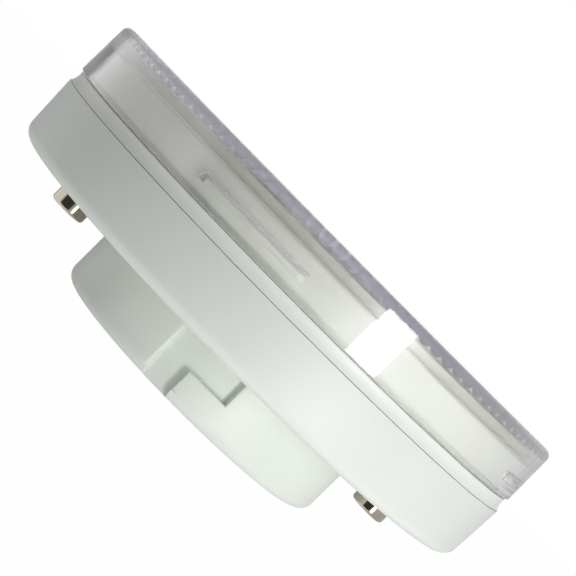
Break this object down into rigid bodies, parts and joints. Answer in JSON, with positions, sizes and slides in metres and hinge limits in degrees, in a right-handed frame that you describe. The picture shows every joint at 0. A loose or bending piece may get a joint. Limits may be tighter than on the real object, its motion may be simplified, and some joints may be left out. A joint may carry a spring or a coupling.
{
  "type": "compact fluorescent lamp",
  "caption": "Flat round compact fluorescent lamp with a clear fluted cover and a hub base with twist-lock pins.",
  "frame": {"origin": "centre of the hub's flat rear face, which the lamp stands on", "axes": "+Z along the lamp's axis towards the clear front cover; the contact pins lie on X"},
  "size_m": [0.075, 0.075, 0.0273],
  "materials": {
    "housing_plastic": "satin moulded white",
    "tray_plastic": "satin moulded white",
    "clear_plastic": "clear, polished mould",
    "nickel": "bright nickel plate",
    "tinned_steel": "tinned",
    "wire_sleeving": "smooth insulation",
    "tube_glass": "phosphor coated, opaque white",
    "silicone": "cured silicone",
    "board_laminate": "paper laminate",
    "ferrite": "sintered, matt",
    "bobbin_plastic": "moulded",
    "copper": "enamelled wire",
    "can_sleeve": "shrink sleeve",
    "film_dip": "dipped resin",
    "moulded_epoxy": "moulded",
    "diac_glass": "glass bead",
    "resistor_coat": "lacquer"
  },
  "bodies": {
    "root": {"rear_housing": "housing_plastic", "reflector_tray": "tray_plastic", "front_cover": "clear_plastic", "contact_pin_left": "nickel", "contact_pin_right": "nickel", "solder_tags": "tinned_steel", "board_posts": "tinned_steel", "tube_leads": "tinned_steel", "mains_wires": "wire_sleeving", "discharge_tube": "tube_glass", "tube_collars": "silicone", "circuit_board": "board_laminate", "choke_core": "ferrite", "choke_bobbin": "bobbin_plastic", "choke_winding": "copper", "feedback_ring": "ferrite", "feedback_windings": "copper", "smoothing_capacitor": "can_sleeve", "resonant_capacitor": "film_dip", "blocking_capacitor": "film_dip", "input_inductor": "can_sleeve", "transistor_upper": "moulded_epoxy", "transistor_lower": "moulded_epoxy", "rectifier_diodes": "moulded_epoxy", "starter_diac": "diac_glass", "fusible_resistor": "resistor_coat", "drive_resistors": "resistor_coat"}
  },
  "joints": []
}
